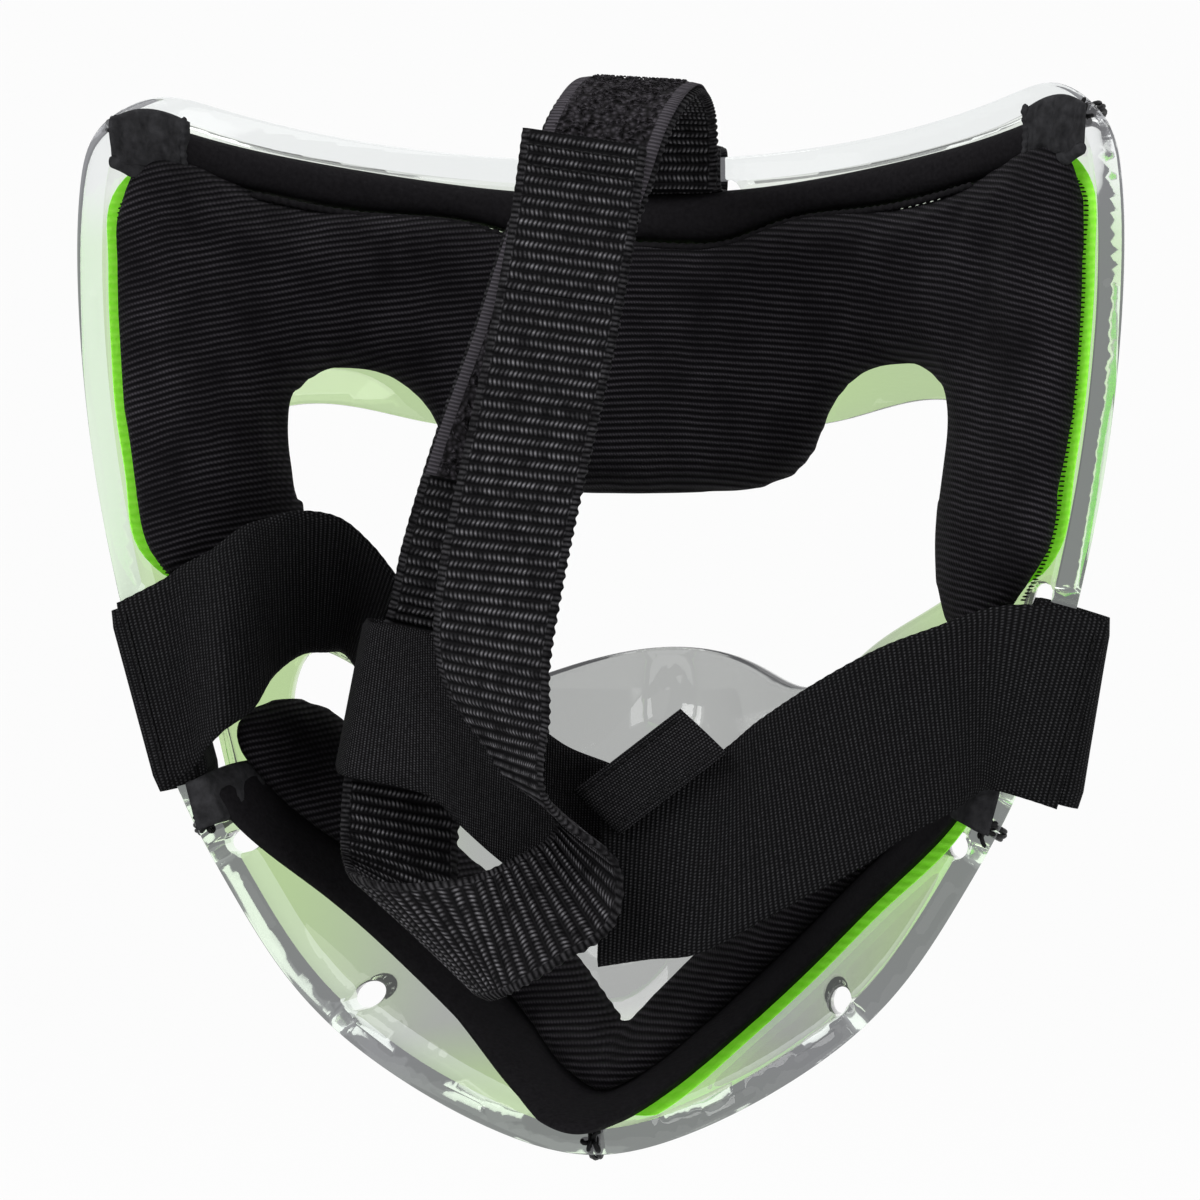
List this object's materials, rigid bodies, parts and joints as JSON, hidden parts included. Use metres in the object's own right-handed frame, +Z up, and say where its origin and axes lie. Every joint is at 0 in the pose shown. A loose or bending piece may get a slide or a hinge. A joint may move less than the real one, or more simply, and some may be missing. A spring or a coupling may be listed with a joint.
{
  "type": "field hockey face mask",
  "caption": "Clear moulded face mask with black forehead and chin pads, a wide elastic round the head and a ribbed webbing strap over it, seen from the wearer's side.",
  "frame": {"origin": "middle of the plane of the rim, level with the lower edge of the eye opening, on the wearer's side", "axes": "+Z up, +X to the wearer's right, +Y out of the front of the mask"},
  "size_m": [0.2126, 0.145, 0.2192],
  "materials": {
    "clear_shell": "clear gloss",
    "black_knit": "ribbed knit",
    "green_cloth": "smooth cloth",
    "binding": "smooth stretch tape",
    "elastic": "woven elastic",
    "webbing": "ribbed webbing",
    "tape": "hook and loop",
    "thread": "thread"
  },
  "bodies": {
    "mask": {"shell": "clear_shell", "forehead_pad": "black_knit", "forehead_pad_backing": "green_cloth", "forehead_binding": "binding", "chin_pad": "black_knit", "chin_pad_backing": "green_cloth", "chin_binding": "binding", "corner_tab_left": "binding", "corner_tab_right": "binding", "chin_tab_left": "binding", "chin_tab_right": "binding", "corner_tie_left": "thread", "corner_tie_right": "thread", "cheek_tie_left": "thread", "cheek_tie_right": "thread", "chin_tie": "thread", "headband_end_left": "elastic", "headband_end_right": "elastic", "strap_anchor_loop": "webbing"},
    "headband": {"headband_left": "elastic", "headband_keeper": "elastic", "headband_right": "elastic", "headband_end_fold": "elastic"},
    "top_strap": {"top_strap_webbing": "webbing", "loop_tape": "tape"},
    "strap_end": {"top_strap_end": "webbing", "hook_tape": "tape"}
  },
  "joints": [
    {"name": "headband_swing", "type": "hinge", "parent": "mask", "child": "headband", "pos_m": [0, -0.0035, -0.018], "axis": [1, 0, 0], "range_deg": [-2, 5]},
    {"name": "top_strap_swing", "type": "hinge", "parent": "mask", "child": "top_strap", "pos_m": [0.006, 0.0542, 0.09], "axis": [1, 0, 0], "range_deg": [-0.5, 1.25]},
    {"name": "hook_tab_peel", "type": "hinge", "parent": "top_strap", "child": "strap_end", "pos_m": [-0.00137, -0.02873, 0.05905], "axis": [0.9871, 0, -0.16], "range_deg": [0, 110]}
  ],
  "couplings": [
    {"joint": "top_strap_swing", "follows": "headband_swing", "ratio": 0.25}
  ]
}
